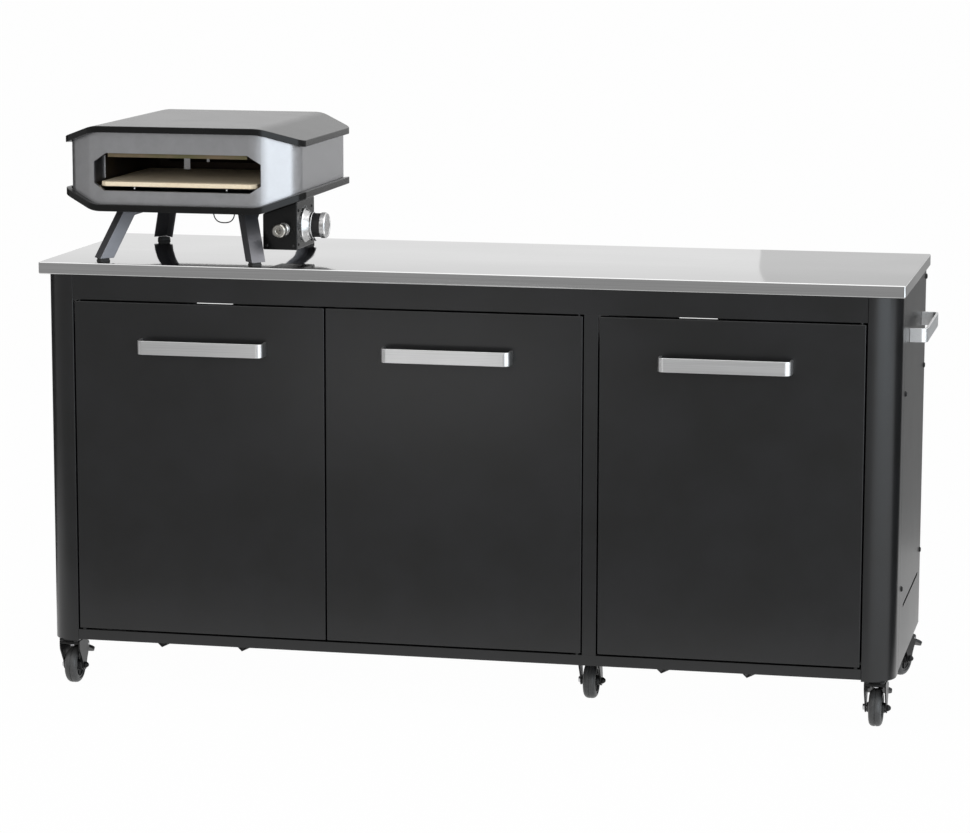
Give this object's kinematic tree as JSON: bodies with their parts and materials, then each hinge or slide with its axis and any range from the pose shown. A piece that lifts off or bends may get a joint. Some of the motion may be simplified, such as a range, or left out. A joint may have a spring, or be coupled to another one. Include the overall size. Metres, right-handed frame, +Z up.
{
  "type": "outdoor kitchen",
  "caption": "Outdoor kitchen: a powder-coated steel cabinet with hinged doors on swivel casters, a folded stainless worktop and a gas pizza oven standing on it.",
  "frame": {"origin": "on the floor, under the middle of the whole object's box", "axes": "+X to the right seen from the doors, +Y to the back, +Z up"},
  "size_m": [1.945, 0.6346, 1.247],
  "materials": {
    "worktop_steel": "stainless sheet, fine brushed lines along its length",
    "inner_steel": "zinc-plated steel",
    "cabinet_black": "matt black powder coat with a fine orange peel",
    "handle_aluminium": "brushed and clear anodised",
    "bolt_black": "black-oxide screws",
    "catch_plastic": "moulded, matt",
    "caster_black": "pressed steel, black, satin",
    "caster_rubber": "dark grey tread on a black hub",
    "pedal_plastic": "moulded, satin",
    "oven_black": "satin black heat-proof coat",
    "oven_silver": "satin silver-grey coat",
    "liner_steel": "stainless sheet, tinted by heat",
    "baking_stone": "fired cordierite, matt and speckled",
    "leg_grey": "satin dark grey coat",
    "foot_rubber": "moulded pad",
    "gas_chrome": "plated union with a knurled collar",
    "knob_chrome": "plated, brushed on its face",
    "stem_brass": "turned",
    "lead_black": "insulated lead"
  },
  "bodies": {
    "cabinet": {"worktop": "worktop_steel", "worktop_stiffeners": "inner_steel", "front_right_post": "cabinet_black", "front_left_post": "cabinet_black", "rear_posts": "cabinet_black", "centre_post": "cabinet_black", "top_rail": "cabinet_black", "bottom_rail": "cabinet_black", "right_side_panel": "cabinet_black", "left_side_panel": "cabinet_black", "back_panel": "cabinet_black", "floor_panel": "cabinet_black", "partition": "cabinet_black", "side_handles": "handle_aluminium", "cabinet_bolts": "bolt_black", "door_pivot_pins": "inner_steel", "magnetic_catches": "catch_plastic", "caster_plates": "caster_black"},
    "door_left": {"door_left_skin": "cabinet_black", "door_left_liner": "cabinet_black", "door_left_handle": "handle_aluminium", "door_left_fittings": "inner_steel"},
    "door_middle": {"door_middle_skin": "cabinet_black", "door_middle_liner": "cabinet_black", "door_middle_handle": "handle_aluminium", "door_middle_fittings": "inner_steel"},
    "door_right": {"door_right_skin": "cabinet_black", "door_right_liner": "cabinet_black", "door_right_handle": "handle_aluminium", "door_right_fittings": "inner_steel"},
    "caster_front_left_swivel": {"caster_front_left_fork": "caster_black"},
    "caster_front_left_roller": {"caster_front_left_wheel": "caster_rubber"},
    "caster_front_left_brake": {"caster_front_left_pedal": "pedal_plastic"},
    "caster_front_right_swivel": {"caster_front_right_fork": "caster_black"},
    "caster_front_right_roller": {"caster_front_right_wheel": "caster_rubber"},
    "caster_front_right_brake": {"caster_front_right_pedal": "pedal_plastic"},
    "caster_rear_left_swivel": {"caster_rear_left_fork": "caster_black"},
    "caster_rear_left_roller": {"caster_rear_left_wheel": "caster_rubber"},
    "caster_rear_left_brake": {"caster_rear_left_pedal": "pedal_plastic"},
    "caster_rear_right_swivel": {"caster_rear_right_fork": "caster_black"},
    "caster_rear_right_roller": {"caster_rear_right_wheel": "caster_rubber"},
    "caster_rear_right_brake": {"caster_rear_right_pedal": "pedal_plastic"},
    "caster_front_middle_swivel": {"caster_front_middle_fork": "caster_black"},
    "caster_front_middle_roller": {"caster_front_middle_wheel": "caster_rubber"},
    "caster_rear_middle_swivel": {"caster_rear_middle_fork": "caster_black"},
    "caster_rear_middle_roller": {"caster_rear_middle_wheel": "caster_rubber"},
    "oven": {"oven_lid": "oven_black", "oven_shell": "oven_silver", "oven_tray": "oven_black", "oven_liner": "liner_steel", "oven_burner": "liner_steel", "oven_legs": "leg_grey", "oven_feet": "foot_rubber", "oven_control_box": "oven_black", "oven_gas_inlet": "gas_chrome", "oven_bezel": "knob_chrome", "oven_igniter_lead": "lead_black"},
    "baking_stone": {"oven_stone": "baking_stone"},
    "valve_stem": {"oven_valve_stem": "stem_brass"},
    "knob": {"oven_knob": "knob_chrome"}
  },
  "joints": [
    {"name": "door_left_hinge", "type": "hinge", "parent": "cabinet", "child": "door_left", "pos_m": [-0.8535, -0.27225, 0.5], "axis": [0, 0, -1], "range_deg": [0, 95]},
    {"name": "door_middle_hinge", "type": "hinge", "parent": "cabinet", "child": "door_middle", "pos_m": [0.2555, -0.27225, 0.5], "axis": [0, 0, 1], "range_deg": [0, 95]},
    {"name": "door_right_hinge", "type": "hinge", "parent": "cabinet", "child": "door_right", "pos_m": [0.8535, -0.27225, 0.5], "axis": [0, 0, 1], "range_deg": [0, 95]},
    {"name": "caster_front_left_turn", "type": "hinge", "parent": "cabinet", "child": "caster_front_left_swivel", "pos_m": [-0.894, -0.24475, 0.1], "axis": [0, 0, 1], "continuous": true},
    {"name": "caster_front_left_roll", "type": "hinge", "parent": "caster_front_left_swivel", "child": "caster_front_left_roller", "pos_m": [-0.894, -0.22475, 0.04], "axis": [1, 0, 0], "continuous": true},
    {"name": "caster_front_left_brake_press", "type": "hinge", "parent": "caster_front_left_swivel", "child": "caster_front_left_brake", "pos_m": [-0.894, -0.20075, 0.083], "axis": [-1, 0, 0], "range_deg": [0, 7]},
    {"name": "caster_front_right_turn", "type": "hinge", "parent": "cabinet", "child": "caster_front_right_swivel", "pos_m": [0.894, -0.24475, 0.1], "axis": [0, 0, 1], "continuous": true},
    {"name": "caster_front_right_roll", "type": "hinge", "parent": "caster_front_right_swivel", "child": "caster_front_right_roller", "pos_m": [0.894, -0.22475, 0.04], "axis": [1, 0, 0], "continuous": true},
    {"name": "caster_front_right_brake_press", "type": "hinge", "parent": "caster_front_right_swivel", "child": "caster_front_right_brake", "pos_m": [0.894, -0.20075, 0.083], "axis": [-1, 0, 0], "range_deg": [0, 7]},
    {"name": "caster_rear_left_turn", "type": "hinge", "parent": "cabinet", "child": "caster_rear_left_swivel", "pos_m": [-0.894, 0.23325, 0.1], "axis": [0, 0, 1], "continuous": true},
    {"name": "caster_rear_left_roll", "type": "hinge", "parent": "caster_rear_left_swivel", "child": "caster_rear_left_roller", "pos_m": [-0.90084, 0.25204, 0.04], "axis": [0.9397, 0.342, 0], "continuous": true},
    {"name": "caster_rear_left_brake_press", "type": "hinge", "parent": "caster_rear_left_swivel", "child": "caster_rear_left_brake", "pos_m": [-0.90905, 0.2746, 0.083], "axis": [-0.9397, -0.342, 0], "range_deg": [0, 7]},
    {"name": "caster_rear_right_turn", "type": "hinge", "parent": "cabinet", "child": "caster_rear_right_swivel", "pos_m": [0.894, 0.23325, 0.1], "axis": [0, 0, 1], "continuous": true},
    {"name": "caster_rear_right_roll", "type": "hinge", "parent": "caster_rear_right_swivel", "child": "caster_rear_right_roller", "pos_m": [0.90084, 0.25204, 0.04], "axis": [0.9397, -0.342, 0], "continuous": true},
    {"name": "caster_rear_right_brake_press", "type": "hinge", "parent": "caster_rear_right_swivel", "child": "caster_rear_right_brake", "pos_m": [0.90905, 0.2746, 0.083], "axis": [-0.9397, 0.342, 0], "range_deg": [0, 7]},
    {"name": "caster_front_middle_turn", "type": "hinge", "parent": "cabinet", "child": "caster_front_middle_swivel", "pos_m": [0.259, -0.13575, 0.1], "axis": [0, 0, 1], "continuous": true},
    {"name": "caster_front_middle_roll", "type": "hinge", "parent": "caster_front_middle_swivel", "child": "caster_front_middle_roller", "pos_m": [0.259, -0.11575, 0.04], "axis": [1, 0, 0], "continuous": true},
    {"name": "caster_rear_middle_turn", "type": "hinge", "parent": "cabinet", "child": "caster_rear_middle_swivel", "pos_m": [0.259, 0.23325, 0.1], "axis": [0, 0, 1], "continuous": true},
    {"name": "caster_rear_middle_roll", "type": "hinge", "parent": "caster_rear_middle_swivel", "child": "caster_rear_middle_roller", "pos_m": [0.259, 0.25325, 0.04], "axis": [1, 0, 0], "continuous": true},
    {"name": "oven_lift", "type": "slide", "parent": "cabinet", "child": "oven", "axis": [0, 0, 1], "range_m": [0, 0.4]},
    {"name": "stone_pull", "type": "slide", "parent": "oven", "child": "baking_stone", "axis": [0, -1, 0], "range_m": [0, 0.38]},
    {"name": "knob_push", "type": "slide", "parent": "oven", "child": "valve_stem", "axis": [-1, 0, 0], "range_m": [0, 0.004], "stiffness_N_per_m": 800},
    {"name": "knob_turn", "type": "hinge", "parent": "valve_stem", "child": "knob", "pos_m": [-0.345, -0.12275, 1.028], "axis": [1, 0, 0], "range_deg": [0, 180]}
  ]
}
